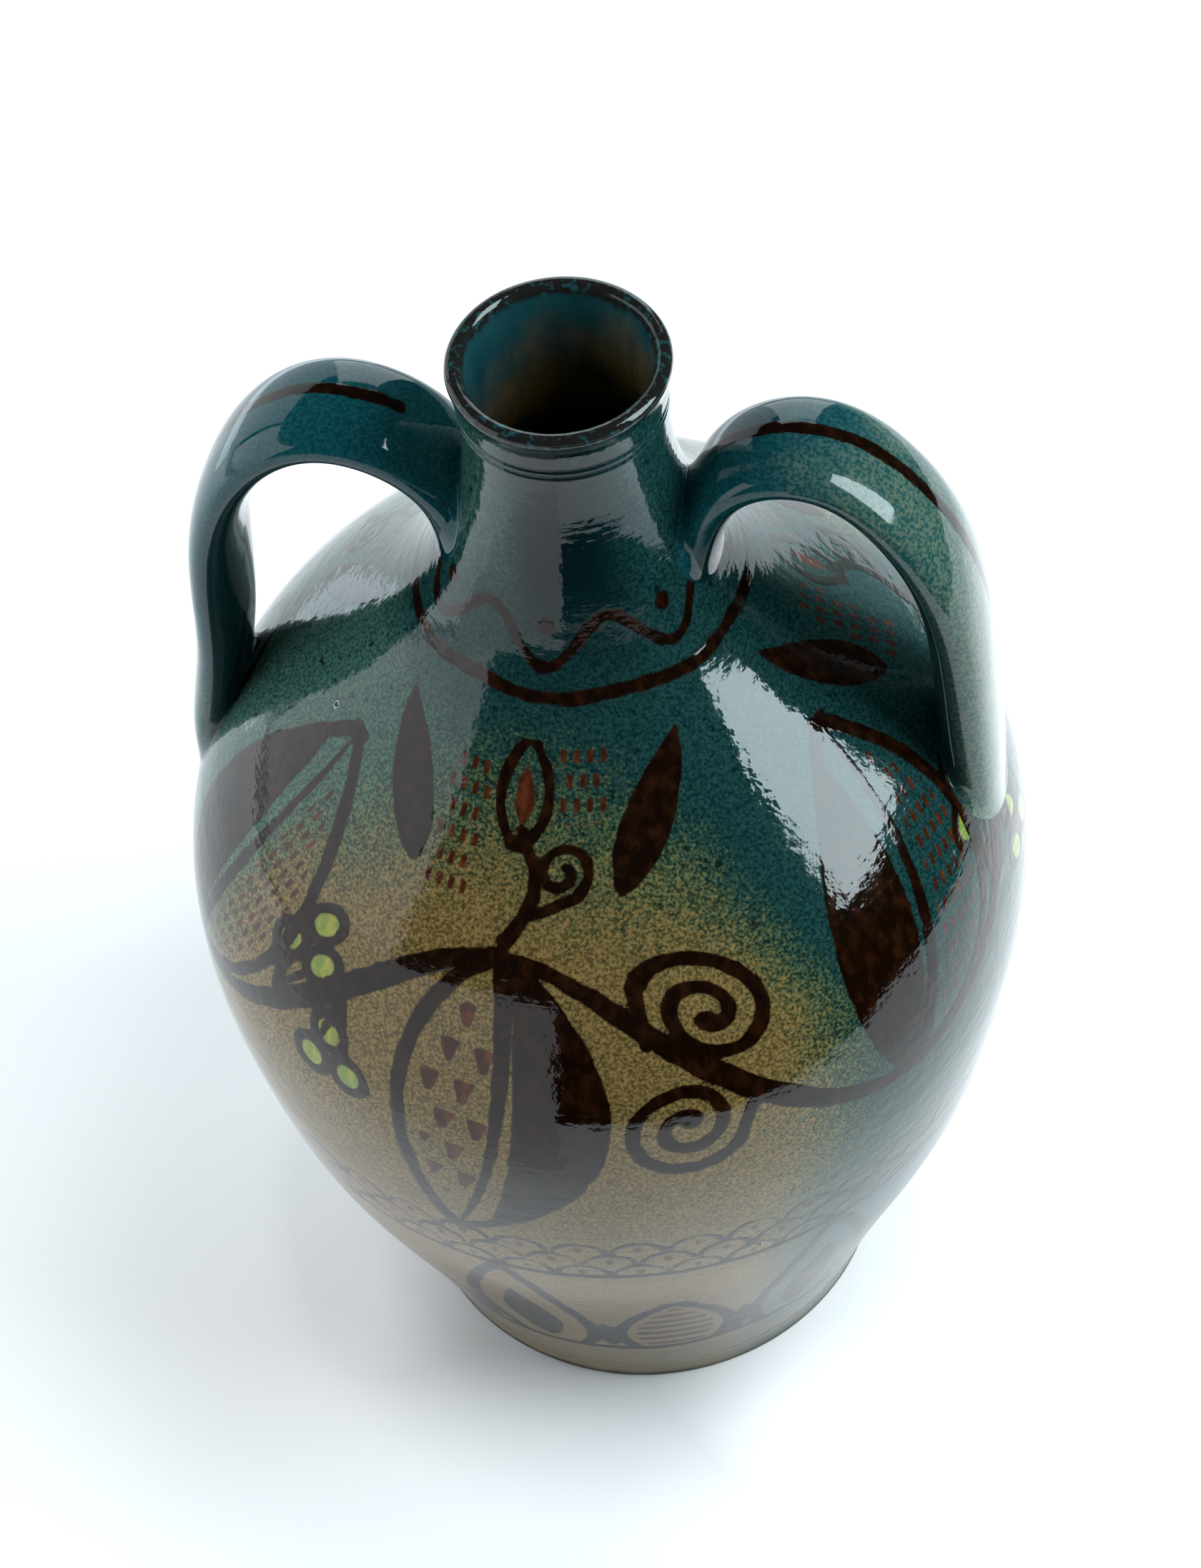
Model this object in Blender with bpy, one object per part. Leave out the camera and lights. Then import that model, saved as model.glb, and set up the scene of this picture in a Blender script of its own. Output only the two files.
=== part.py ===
"""A two-handled bottle vase of thrown and glazed terracotta.

Four turned pieces stack up the axis, each lapped into the next: the foot ring, the lower
bowl with the floor, the shoulder, and the neck with its rolled lip. Two pulled strap
handles leave the neck, arch over and run down onto the shoulder. Their ends spread in a
thumbed fillet and are cut to the wall that they are luted to.

Units are metres and +Z is up. The origin is on the table, under the middle of the foot,
and the handles stand along +X and -X.
"""

import math

import bmesh
import bpy
import numpy as np

# Outside of the thrown body
vase_height = 0.340
belly_radius = 0.1037
belly_height = 0.166
crease_radius = 0.0660
neck_radius = 0.0231
throat_drop = 0.0220
lip_radius = 0.0247
lip_depth = 0.0060
lip_overhang = 0.0009
lip_round = 0.00190

# Heights and radii that the outside passes through, as shares of the way from the crease
# over the foot up to the belly, and from the belly up to the throat, the neck's narrow place
bowl_shares = ((0.0, 0.0), (0.11, 0.137), (0.31, 0.412), (0.54, 0.722), (0.77, 0.915), (1.0, 1.0))
shoulder_shares = (
    (0.16, 0.040),
    (0.29, 0.147),
    (0.42, 0.337),
    (0.55, 0.593),
    (0.68, 0.802),
    (0.81, 0.926),
    (0.91, 0.981),
    (1.0, 1.0),
)

# Walls, floor and foot
body_wall = 0.0056
neck_wall = 0.0038
floor_thickness = 0.0080
floor_corner = 0.0180
foot_height = 0.0130
foot_draft = 0.0027
foot_chamfer = 0.0012
ring_width = 0.0113
seat_share = 0.354
recess_share = 0.4615

# Laps between the thrown pieces, and two grooves turned round the neck
seam_gap = 0.0003
lap_height = 0.0070
neck_seam_share = 0.6316
groove_drops = (0.0132, 0.0110)
groove_depth = 0.0004
groove_half_height = 0.0008

# Strap handles: where the middle line of each starts in the neck, tops out and ends in the
# shoulder, as shares of the way from the belly up to the throat, and the places between as
# shares of the way out and of the way up from the tail
handle_root_share = 0.7132
handle_crown_share = 0.9737
right_tail_share = 0.0987
left_tail_share = 0.0526
right_route_shares = (
    (0.146, 0.944),
    (0.459, 1.0),
    (0.726, 0.880),
    (0.889, 0.680),
    (0.947, 0.414),
    (0.979, 0.188),
    (1.0, 0.0),
)
left_route_shares = (
    (0.067, 0.913),
    (0.395, 1.0),
    (0.723, 0.902),
    (0.900, 0.687),
    (0.954, 0.429),
    (1.039, 0.193),
    (1.0, 0.0),
)
strap_width = 0.0294
strap_thickness = 0.0120
bury_share = 0.875
right_width_shares = (0.80, 1.0, 1.12, 0.92)
left_width_shares = (0.92, 1.0, 1.05, 0.95)
right_thickness_shares = (0.95, 0.98, 1.26, 0.95)
left_thickness_shares = (1.0, 1.01, 0.97, 1.0)
strap_roundness = 2.2
handle_fillet = 0.0030
handle_turn = math.radians(2.3)

# Fineness of the facets
turn_steps = 48
row_spacing = 0.0110
lip_steps = 8
corner_steps = 4
strap_rows = 42
strap_sides = 20
strap_bunching = 0.5
weld_distance = 0.00001
slope_probe = 0.00001
crease_angle = math.radians(40)


def smooth_curve(knots, values, places):
    """Natural cubic spline: the curve of least bending through the values at the knots."""
    knots = np.array(knots, float)
    values = np.array(values, float)
    step = np.diff(knots)
    rise = np.diff(values, axis=0).T / step
    system = np.eye(len(knots))
    pull = np.zeros((len(knots),) + values.shape[1:])
    for row in range(1, len(knots) - 1):
        before, after = step[row - 1], step[row]
        system[row, row - 1 : row + 2] = before, 2 * (before + after), after
        pull[row] = 6 * (rise.T[row] - rise.T[row - 1])
    bend = np.linalg.solve(system, pull)
    places = np.asarray(places, float)
    cell = np.clip(np.searchsorted(knots, places) - 1, 0, len(knots) - 2)
    width = step[cell]
    right = (places - knots[cell]) / width
    left = 1 - right
    if values.ndim > 1:
        left, right, width = left[:, None], right[:, None], width[:, None]
    curve = left * values[cell] + right * values[cell + 1]
    curve += width**2 / 6 * ((left**3 - left) * bend[cell] + (right**3 - right) * bend[cell + 1])
    return curve


def above_belly(share):
    """Height at a share of the way from the belly up to the throat."""
    return belly_height + share * (vase_height - throat_drop - belly_height)


def outline_stations():
    """Heights and radii of the outside, from the crease over the foot to under the lip."""
    stations = []
    for up, out in bowl_shares:
        height = foot_height + up * (belly_height - foot_height)
        stations.append((height, crease_radius + out * (belly_radius - crease_radius)))
    for up, inwards in shoulder_shares:
        radius = belly_radius - inwards * (belly_radius - neck_radius)
        stations.append((above_belly(up), radius))
    stations.append((vase_height - lip_depth, lip_radius - lip_overhang))
    return np.array(stations)


stations = outline_stations()


def outside(height):
    """Radius of the thrown outside at a height."""
    return smooth_curve(stations[:, 0], stations[:, 1], height)


def facing(height):
    """Radial and vertical part of the outside's normal at a height."""
    slope = (outside(height + slope_probe) - outside(height - slope_probe)) / (2 * slope_probe)
    length = np.sqrt(1 + slope**2)
    return 1 / length, -slope / length


def wall(height):
    """Thickness of the thrown wall, which thins evenly from the belly up to the throat."""
    return np.interp(height, (belly_height, above_belly(1)), (body_wall, neck_wall))


def within(height, depth):
    """Points (radius, height) a depth under the outside, square to it."""
    radial, vertical = facing(height)
    return np.stack([outside(height) - depth * radial, height - depth * vertical], axis=-1)


def rows(low, high):
    """Heights from low to high, evenly spaced and about one row spacing apart."""
    return np.linspace(low, high, max(2, math.ceil((high - low) / row_spacing) + 1))


def bowl_rows():
    """Heights of the lower body's outside rows."""
    return rows(foot_height, belly_height)


def shoulder_rows():
    """Heights of the shoulder's outside rows."""
    return rows(belly_height + seam_gap, above_belly(neck_seam_share))


def neck_rows():
    """Heights of the neck's outside rows, up to the underside of the lip."""
    return rows(above_belly(neck_seam_share) + seam_gap, vase_height - lip_depth)


def socket(seam):
    """The step on top of a piece: its outer half stops at the seam and its inner half laps on."""
    half = wall(seam) / 2 + seam_gap / 2
    top = seam + lap_height
    return [within(top, wall(top)), within(top, half), within(seam, half), within(seam, 0)]


def rebate(seam):
    """The step under a piece, which fits round the socket below with the seam gap."""
    half = wall(seam) / 2 - seam_gap / 2
    low = seam + seam_gap
    top = seam + lap_height + seam_gap
    return [within(low, 0), within(low, half), within(top, half), within(top, wall(top))]


def grooved(heights):
    """Outside points at the heights, with the two turned grooves cut into them."""
    middles = [vase_height - drop for drop in groove_drops]
    low = min(middles) - 2 * groove_half_height
    high = max(middles) + 2 * groove_half_height
    points = [(height, 0.0) for height in heights if not low < height < high]
    for middle in middles:
        points.append((middle - groove_half_height, 0.0))
        points.append((middle, groove_depth))
        points.append((middle + groove_half_height, 0.0))
    return [within(height, depth) for height, depth in sorted(points)]


def add_object(name, mesh, colour, roughness):
    """Puts a mesh in the scene with its own glaze, smooth but for its sharp edges."""
    mesh.shade_smooth()
    mesh.set_sharp_from_angle(angle=crease_angle)
    item = bpy.data.objects.new(name, mesh)
    bpy.context.collection.objects.link(item)
    glaze = bpy.data.materials.new(name)
    glaze.use_nodes = True
    shader = glaze.node_tree.nodes["Principled BSDF"]
    shader.inputs["Base Color"].default_value = (*colour, 1)
    shader.inputs["Roughness"].default_value = roughness
    shader.inputs["Metallic"].default_value = 0
    mesh.materials.append(glaze)
    return item


def turned(name, outline, closed, colour, roughness):
    """A solid spun about the axis from an outline of radii and heights."""
    form = bmesh.new()
    points = [form.verts.new((radius, 0, height)) for radius, height in outline]
    ends = list(zip(points, points[1:]))
    if closed:
        ends.append((points[-1], points[0]))
    edges = [form.edges.new(pair) for pair in ends]
    bmesh.ops.spin(
        form,
        geom=points + edges,
        cent=(0, 0, 0),
        axis=(0, 0, 1),
        angle=math.tau,
        steps=turn_steps,
        use_merge=True,
    )
    bmesh.ops.remove_doubles(form, verts=form.verts, dist=weld_distance)
    bmesh.ops.recalc_face_normals(form, faces=form.faces)
    mesh = bpy.data.meshes.new(name)
    form.to_mesh(mesh)
    form.free()
    return add_object(name, mesh, colour, roughness)


def seat():
    """Radius and height of the bowl's seat: its rim stands in the ring, clear of the table."""
    bore = crease_radius - foot_draft - ring_width
    return bore + seat_share * ring_width, recess_share * foot_height


def make_foot_ring():
    """The ring under the bowl: a rebate takes the bowl's seat, and its underside is flat."""
    foot_radius = crease_radius - foot_draft
    bore = foot_radius - ring_width
    seat_radius, seat_height = seat()
    top = foot_height - seam_gap
    ledge = seat_height - seam_gap
    rebate_radius = seat_radius + seam_gap
    outline = [
        (crease_radius - seam_gap, top),
        (foot_radius + foot_draft / 4, foot_height / 2),
        (foot_radius, foot_chamfer),
        (foot_radius - foot_chamfer, 0),
        (bore + foot_chamfer, 0),
        (bore, foot_chamfer),
        (bore, ledge),
        (rebate_radius, ledge),
        (rebate_radius, top),
    ]
    return turned("foot_ring", outline, True, (0.085, 0.075, 0.040), 0.30)


def make_lower_body():
    """The lower bowl: rounded floor, wall up to the belly, and a seat for the foot ring."""
    seat_radius, seat_height = seat()
    floor = seat_height + floor_thickness
    corner = floor + floor_corner
    foot_of_wall, _ = within(corner, wall(corner))
    outline = [(0, floor)]
    for step in range(corner_steps):
        turn = math.pi / 2 * (1 - step / corner_steps)
        across = foot_of_wall - floor_corner * (1 - math.cos(turn))
        outline.append((across, corner - floor_corner * math.sin(turn)))
    joint = belly_height + lap_height
    outline += [within(height, wall(height)) for height in rows(corner, joint)[:-1]]
    outline += socket(belly_height)
    outline += [within(height, 0) for height in bowl_rows()[-2::-1]]
    outline += [(seat_radius, foot_height), (seat_radius, seat_height), (0, seat_height)]
    return turned("lower_body", outline, False, (0.230, 0.180, 0.075), 0.14)


def make_shoulder():
    """The shoulder: a thrown ring from the belly up to the foot of the neck."""
    seam = above_belly(neck_seam_share)
    joint = belly_height + lap_height + seam_gap
    top = seam + lap_height
    outline = [within(height, wall(height)) for height in rows(joint, top)[1:-1]]
    outline += socket(seam)
    outline += [within(height, 0) for height in shoulder_rows()[-2:0:-1]]
    outline += rebate(belly_height)
    return turned("shoulder", outline, True, (0.020, 0.110, 0.095), 0.12)


def make_neck():
    """The neck: a flared collar, a narrow throat with two turned grooves, and a rolled lip."""
    seam = above_belly(neck_seam_share)
    joint = seam + lap_height + seam_gap
    under_lip = vase_height - lip_depth
    middle = lip_radius - lip_round
    centre = vase_height - lip_round
    bore = [within(height, wall(height)) for height in rows(joint, under_lip)[1:]]
    lip = []
    for step in range(lip_steps + 1):
        turn = math.pi * (1 - step / lip_steps)
        lip.append((middle + lip_round * math.cos(turn), centre + lip_round * math.sin(turn)))
    roll = (lip_radius - lip_overhang / 3, (centre + under_lip) / 2)
    skin = grooved(neck_rows()[1:])[::-1]
    outline = bore + lip + [roll] + skin + rebate(seam)
    return turned("neck", outline, True, (0.006, 0.050, 0.055), 0.10)


def make_wall_cutter():
    """The outside of the body grown by the seam gap: it saddles the ends of the handles."""
    heights = np.concatenate([bowl_rows()[:-1], shoulder_rows(), neck_rows()])[::-1]
    outline = [within(height, -seam_gap) for height in heights]
    top, bottom = outline[0][1], outline[-1][1]
    outline = [(0, top)] + outline + [(0, bottom)]
    cutter = turned("wall_cutter", outline, False, (0.5, 0.5, 0.5), 0.5)
    cutter.hide_render = True
    cutter.display_type = "WIRE"
    return cutter


def handle_route(tail_share, route_shares):
    """The strap's middle line: it starts and ends inside the wall, by a share of its thickness."""
    root_height = above_belly(handle_root_share)
    crown_height = above_belly(handle_crown_share)
    tail_height = above_belly(tail_share)
    bury = bury_share * strap_thickness
    root = outside(root_height) - bury
    tail = outside(tail_height) - bury
    route = [(root, root_height)]
    for out, up in route_shares:
        height = tail_height + up * (crown_height - tail_height)
        route.append((root + out * (tail - root), height))
    return np.array(route)


def handle_grid(azimuth, route, width_shares, thickness_shares):
    """Points of a strap, one ring of rounded-oblong sections for each place on its route.

    Near the wall each point moves out along the wall by R - sqrt(R^2 - (R - d)^2), with R
    the fillet and d its distance from the wall, which is the round of a thumbed joint.
    """
    knots = np.linspace(0, 1, len(route))
    spread = np.linspace(0, 1, strap_rows)
    along = spread - strap_bunching * np.sin(math.tau * spread) / math.tau
    middle = smooth_curve(knots, route, along)
    heading = np.gradient(middle, axis=0)
    heading /= np.linalg.norm(heading, axis=1, keepdims=True)

    quarters = np.linspace(0, 1, len(width_shares))
    width = strap_width / 2 * np.interp(along, quarters, width_shares)
    thickness = strap_thickness / 2 * np.interp(along, quarters, thickness_shares)
    turn = math.tau * np.arange(strap_sides) / strap_sides
    power = 2 / strap_roundness
    across = np.sign(np.cos(turn)) * np.abs(np.cos(turn)) ** power
    through = np.sign(np.sin(turn)) * np.abs(np.sin(turn)) ** power

    reach = middle[:, :1] + heading[:, 1:] * thickness[:, None] * through
    height = middle[:, 1:] - heading[:, :1] * thickness[:, None] * through
    side = width[:, None] * across

    radius = np.hypot(reach, side)
    level = np.clip(height, stations[0, 0], stations[-1, 0])
    radial, vertical = facing(level)
    gap = (radius - outside(level)) * radial
    inner = handle_fillet - np.clip(gap, 0, handle_fillet)
    push = handle_fillet - np.sqrt(handle_fillet**2 - inner**2)

    lean = np.stack([across / width[:, None], through / thickness[:, None]], axis=-1)
    lean /= np.linalg.norm(lean, axis=-1, keepdims=True)
    normal = np.stack(
        [heading[:, 1:] * lean[..., 1], lean[..., 0], -heading[:, :1] * lean[..., 1]], axis=-1
    )
    away = np.stack([radial * reach / radius, radial * side / radius, vertical], axis=-1)
    slide = normal - (normal * away).sum(axis=-1, keepdims=True) * away
    points = np.stack([reach, side, height], axis=-1) + push[..., None] * slide
    cosine, sine = math.cos(azimuth), math.sin(azimuth)
    spin = np.array([[cosine, sine, 0], [-sine, cosine, 0], [0, 0, 1]])
    return points @ spin


def make_handle(name, azimuth, route, width_shares, thickness_shares, cutter):
    """A pulled strap with both ends cut to the wall by the cutter."""
    points = handle_grid(azimuth, route, width_shares, thickness_shares)
    form = bmesh.new()
    rings = [[form.verts.new(point) for point in ring] for ring in points]
    for lower, upper in zip(rings, rings[1:]):
        for place in range(strap_sides):
            after = (place + 1) % strap_sides
            form.faces.new((lower[place], lower[after], upper[after], upper[place]))
    form.faces.new(rings[0])
    form.faces.new(rings[-1])
    bmesh.ops.recalc_face_normals(form, faces=form.faces)
    mesh = bpy.data.meshes.new(name)
    form.to_mesh(mesh)
    form.free()
    strap = add_object(name, mesh, (0.008, 0.060, 0.062), 0.10)
    saddle = strap.modifiers.new("Saddle", "BOOLEAN")
    saddle.operation = "DIFFERENCE"
    saddle.solver = "EXACT"
    saddle.object = cutter
    return strap


def main():
    for item in list(bpy.data.objects):
        bpy.data.objects.remove(item, do_unlink=True)
    make_foot_ring()
    make_lower_body()
    make_shoulder()
    make_neck()
    cutter = make_wall_cutter()
    make_handle(
        "handle_right",
        handle_turn,
        handle_route(right_tail_share, right_route_shares),
        right_width_shares,
        right_thickness_shares,
        cutter,
    )
    make_handle(
        "handle_left",
        math.pi - handle_turn,
        handle_route(left_tail_share, left_route_shares),
        left_width_shares,
        left_thickness_shares,
        cutter,
    )


main()
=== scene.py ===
"""The looks of a two-handled bottle vase of thrown and glazed terracotta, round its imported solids.

Metres, +Z up, the origin on the table under the middle of the foot, handles along +X and -X.
"""

import math

import bpy
import numpy as np
from mathutils import Matrix


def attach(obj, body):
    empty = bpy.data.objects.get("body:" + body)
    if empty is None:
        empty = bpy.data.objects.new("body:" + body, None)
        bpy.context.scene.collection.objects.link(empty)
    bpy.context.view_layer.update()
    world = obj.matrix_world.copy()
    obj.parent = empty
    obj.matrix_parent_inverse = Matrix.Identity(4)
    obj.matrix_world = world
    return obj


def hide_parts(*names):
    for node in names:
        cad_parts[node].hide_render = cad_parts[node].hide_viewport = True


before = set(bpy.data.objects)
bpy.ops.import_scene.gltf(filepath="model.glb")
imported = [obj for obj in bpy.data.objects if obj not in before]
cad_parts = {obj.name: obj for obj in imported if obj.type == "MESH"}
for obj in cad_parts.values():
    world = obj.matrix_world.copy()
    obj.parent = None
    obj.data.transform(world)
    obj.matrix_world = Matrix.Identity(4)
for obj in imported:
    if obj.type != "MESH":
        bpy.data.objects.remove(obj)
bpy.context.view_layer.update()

# Foot ring
# The low band of terracotta that the vase stands on, turned as a ring and luted under the bowl.
# Glaze runs over the joint, and is dark along the lower edge. The face that stands on the table
# and the recess are wiped to the bare clay.
mm = 0.001
round_steps = 560
crease_angle = math.radians(35)
foot_height, foot_radius, foot_bore = 0.0130, 0.0633, 0.0520
foot_flare, foot_arris = 0.0027, 0.0014
chamfer_mid, chamfer_full = 0.0004, 0.0012
seat_radius, seat_height = 0.0560, 0.0060
joint_gap = 0.0003


def placed(name, data):
    """An object made of a mesh, a lamp or a camera, in the scene."""
    item = bpy.data.objects.new(name, data)
    bpy.context.scene.collection.objects.link(item)
    return item


def fired(name, corners, faces, normals, crease=None):
    """A piece from its corners, faces and known normals, where 0, 0, 0 leaves Blender's own.
    Edges that turn by more than the crease stay sharp."""
    mesh = bpy.data.meshes.new(name)
    mesh.from_pydata(corners.tolist(), [], faces)
    mesh.shade_smooth()
    if crease:
        mesh.set_sharp_from_angle(angle=crease)
    mesh.normals_split_custom_set_from_vertices(normals.tolist())
    return placed(name, mesh)


def spun(points):
    """Each point (r, z) carried round the axis: r cos a, r sin a, z."""
    turn = math.tau * np.arange(round_steps) / round_steps
    wide, tall = points[:, :1], points[:, 1:]
    circles = np.stack([wide * np.cos(turn), wide * np.sin(turn), tall + 0 * turn], axis=-1)
    return circles.reshape(-1, 3)


def thrown(name, outline, lean, on_axis=False):
    """Spins an outline about the axis. It runs up outside and down inside. Where it starts and
    ends on the axis, each end closes in one corner. lean holds its known normals, or 0, 0."""
    between = slice(1, -1) if on_axis else slice(None)
    corners, normals = spun(outline[between]), spun(lean[between])
    count = len(outline[between])
    ring = np.arange(count if not on_axis else count - 1)[:, None] * round_steps
    above = (ring + round_steps) % (count * round_steps)
    place = np.arange(round_steps)
    onward = (place + 1) % round_steps
    faces = np.stack([ring + place, ring + onward, above + onward, above + place], axis=-1)
    faces = faces.reshape(-1, 4).tolist()
    if on_axis:
        poles = len(corners) + np.array([0, 1])
        ends = np.array([[0, 0, outline[0, 1]], [0, 0, outline[-1, 1]]])
        corners = np.concatenate([corners, ends])
        normals = np.concatenate([normals, np.zeros((2, 3))])
        last = (count - 1) * round_steps
        faces += np.stack([poles[0] + 0 * place, onward, place], axis=-1).tolist()
        faces += np.stack([last + place, last + onward, poles[1] + 0 * place], axis=-1).tolist()
    return fired(name, corners, faces, normals, crease_angle)


def wipe(piece, *bands):
    """Gives the piece's second material, the bare clay, to bands of its faces."""
    wiped = np.zeros(len(piece.data.polygons), np.int32)
    for band in bands:
        wiped[band] = 1
    piece.data.polygons.foreach_set("material_index", wiped)


class Mixing:
    """A glaze or a clay on the mixing bench: each method adds shader nodes and gives their
    outcome, and sizes are the real sizes of the marks, in millimetres."""

    def __init__(self, name):
        """Starts a material, with its shader and the place on the piece, also as x, y and z."""
        self.material = bpy.data.materials.new(name)
        self.material.use_nodes = True
        self.tree = self.material.node_tree
        self.shader = self.tree.nodes["Principled BSDF"]
        self.place = self.node("ShaderNodeTexCoord").outputs["Object"]
        self.across = self.node("ShaderNodeSeparateXYZ", {0: self.place}).outputs

    def put(self, socket, value):
        """Puts a plain value, or the outcome of another node, in a socket."""
        if isinstance(value, bpy.types.NodeSocket):
            self.tree.links.new(value, socket)
        else:
            socket.default_value = value

    def surface(self, name, value):
        """Puts a value in one of the shader's own sockets."""
        self.put(self.shader.inputs[name], value)

    def node(self, kind, inputs=None, **settings):
        """A node of a kind, with its settings and with what goes in its sockets."""
        made = self.tree.nodes.new(kind)
        for key, value in settings.items():
            setattr(made, key, value)
        for key, value in (inputs or {}).items():
            self.put(made.inputs[key], value)
        return made

    def sum(self, operation, *values):
        """One step of arithmetic on numbers."""
        return self.node("ShaderNodeMath", dict(enumerate(values)), operation=operation).outputs[0]

    def chain(self, operation, values):
        """The same step of arithmetic on each value in turn."""
        outcome = values[0]
        for value in values[1:]:
            outcome = self.sum(operation, outcome, value)
        return outcome

    def add(self, *values):
        """The values added up."""
        return self.chain("ADD", values)

    def times(self, *values):
        """The values multiplied."""
        return self.chain("MULTIPLY", values)

    def most(self, *values):
        """The greatest of the values."""
        return self.chain("MAXIMUM", values)

    def less(self, value, amount):
        """The value less an amount."""
        return self.sum("SUBTRACT", value, amount)

    def length(self, u, v):
        """The root of the sum of two squares."""
        return self.sum("SQRT", self.add(self.times(u, u), self.times(v, v)))

    def step(self, value, low, high, start=0.0, end=1.0):
        """Goes smoothly from start to end as the value goes from low to high."""
        inputs = {"Value": value, "From Min": low, "From Max": high, "To Min": start, "To Max": end}
        return self.node("ShaderNodeMapRange", inputs, interpolation_type="SMOOTHSTEP").outputs[0]

    def grain(self, size, detail=2.0, stretch=None):
        """Noise of about 0 to 1 whose marks are about the size across, drawn out by stretch."""
        place = self.place
        if stretch:
            inputs = {"Vector": place, "Scale": stretch}
            place = self.node("ShaderNodeMapping", inputs, vector_type="POINT").outputs[0]
        inputs = {"Vector": place, "Scale": 1 / (size * mm), "Detail": detail, "Roughness": 0.55}
        return self.node("ShaderNodeTexNoise", inputs).outputs["Fac"]

    def swing(self, noise, width):
        """Noise less a half, times a width, so that it swings about nought."""
        return self.times(self.less(noise, 0.5), width)

    def blend(self, share, under, over):
        """Colour under, covered by colour over to a share."""
        made = self.node("ShaderNodeMix", {0: share}, data_type="RGBA", clamp_factor=True)
        for socket, value in ((6, under), (7, over)):
            self.put(made.inputs[socket], (*value, 1) if isinstance(value, tuple) else value)
        return made.outputs[2]

    def layer(self, name):
        """The three numbers of a painted layer."""
        stored = self.node("ShaderNodeAttribute", attribute_name=name).outputs["Vector"]
        return self.node("ShaderNodeSeparateXYZ", {0: stored}).outputs

    def relief(self, *heights):
        """Bump from (height in mm, value) pairs, one on the other."""
        normal = None
        for height, value in heights:
            inputs = {"Height": value, "Distance": height * mm, "Strength": 1.0}
            if normal:
                inputs["Normal"] = normal
            normal = self.node("ShaderNodeBump", inputs).outputs[0]
        self.surface("Normal", normal)

    def finish(self, colour, roughness):
        """Puts the colour and the roughness on the surface and gives the material."""
        self.surface("Base Color", colour)
        self.surface("Roughness", roughness)
        return self.material


ochre_light, ochre_deep = (0.215, 0.140, 0.050), (0.062, 0.048, 0.014)
moss_light, moss_deep = (0.120, 0.122, 0.048), (0.012, 0.026, 0.012)
fern_light, fern_deep = (0.045, 0.080, 0.045), (0.004, 0.018, 0.013)
teal_light, teal_deep = (0.012, 0.047, 0.044), (0.002, 0.018, 0.019)
bounce_lit_ochre, bounce_lit_teal = (0.230, 0.150, 0.070), (0.065, 0.120, 0.120)
flank_fern = (0.066, 0.140, 0.090)
flank_light, flank_deep = (0.050, 0.120, 0.090), (0.010, 0.040, 0.036)
dark_speck, neck_shade_teal = (0.001, 0.006, 0.009), (0.001, 0.007, 0.009)
ochre_top, side_fall, teal_gain = 0.230, 0.040, 30.0


def sprayed_colour(mix):
    """Sprayed glaze. forward is the squared cosine of the turn from the front, which swings to
    the left low down, so ochre lies front and back. The want of it, the height above the ochre's
    dome and fine noise add up to the share by which ochre turns to moss, fern and teal. The
    left flank is lighter. The neck's front is painted darker as shade, and low down the glaze
    is painted paler for light thrown up from the table. Each colour has light and deep grains,
    sorted by a fine noise."""
    x, y, z = mix.across
    swung = mix.step(z, 0.21, 0.09, -0.122, -0.36)
    front = mix.add(mix.times(x, swung), mix.times(y, -0.98))
    reach = mix.add(mix.times(x, x), mix.times(y, y))
    forward = mix.sum("DIVIDE", mix.times(front, front), reach)
    side = mix.step(forward, 0.62, 0.16, 0.0, 1.15)
    aside = mix.times(mix.less(1.0, forward), side_fall)
    lift = mix.times(mix.most(mix.less(mix.add(z, aside), ochre_top), 0.0), teal_gain)
    teal = mix.add(side, lift, mix.swing(mix.grain(28.0, 3.0), 0.5))
    share = mix.add(teal, mix.swing(mix.grain(0.62), 1.7), mix.swing(mix.grain(3.2), 0.6))
    deep = mix.times(mix.step(mix.grain(0.8), 0.32, 0.66), mix.step(z, 0.07, 0.17, 0.5, 1.0))
    flank = mix.times(mix.step(x, -0.005, -0.050), mix.step(z, 0.272, 0.256))
    neck_side = mix.times(mix.step(x, -0.003, -0.014, 0.0, 0.6), mix.step(z, 0.284, 0.298))
    flank = mix.most(flank, neck_side)
    flank_teal = mix.blend(deep, flank_light, flank_deep)
    colour = mix.blend(deep, ochre_light, ochre_deep)
    for low, high, grains in (
        (0.05, 0.50, mix.blend(deep, moss_light, moss_deep)),
        (0.45, 0.80, mix.blend(deep, mix.blend(flank, fern_light, flank_fern), fern_deep)),
        (0.75, 1.10, mix.blend(flank, mix.blend(deep, teal_light, teal_deep), flank_teal)),
    ):
        colour = mix.blend(mix.step(share, low, high), colour, grains)
    # Painted shade: the front of the neck, and of the shoulder just under it, is darkened towards
    # dark teal, less so on the left.
    shade = mix.times(mix.step(z, 0.258, 0.300, 0.0, 0.92), mix.step(forward, 0.25, 0.80))
    shade = mix.times(shade, mix.step(x, -0.012, -0.002, 0.35, 1.0))
    colour = mix.blend(shade, colour, neck_shade_teal)
    # Painted light: low down the glaze is made paler, for light thrown up from the table.
    pale = mix.blend(mix.step(side, 0.2, 0.9), bounce_lit_ochre, bounce_lit_teal)
    colour = mix.blend(mix.step(z, 0.150, 0.060, 0.0, 0.75), colour, pale)
    specks = mix.step(mix.grain(2.6, 1.5), 0.63, 0.75, 0.0, 0.85)
    return mix.blend(mix.times(specks, mix.step(teal, 0.1, 0.7, 0.25, 1.0)), colour, dark_speck)


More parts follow.
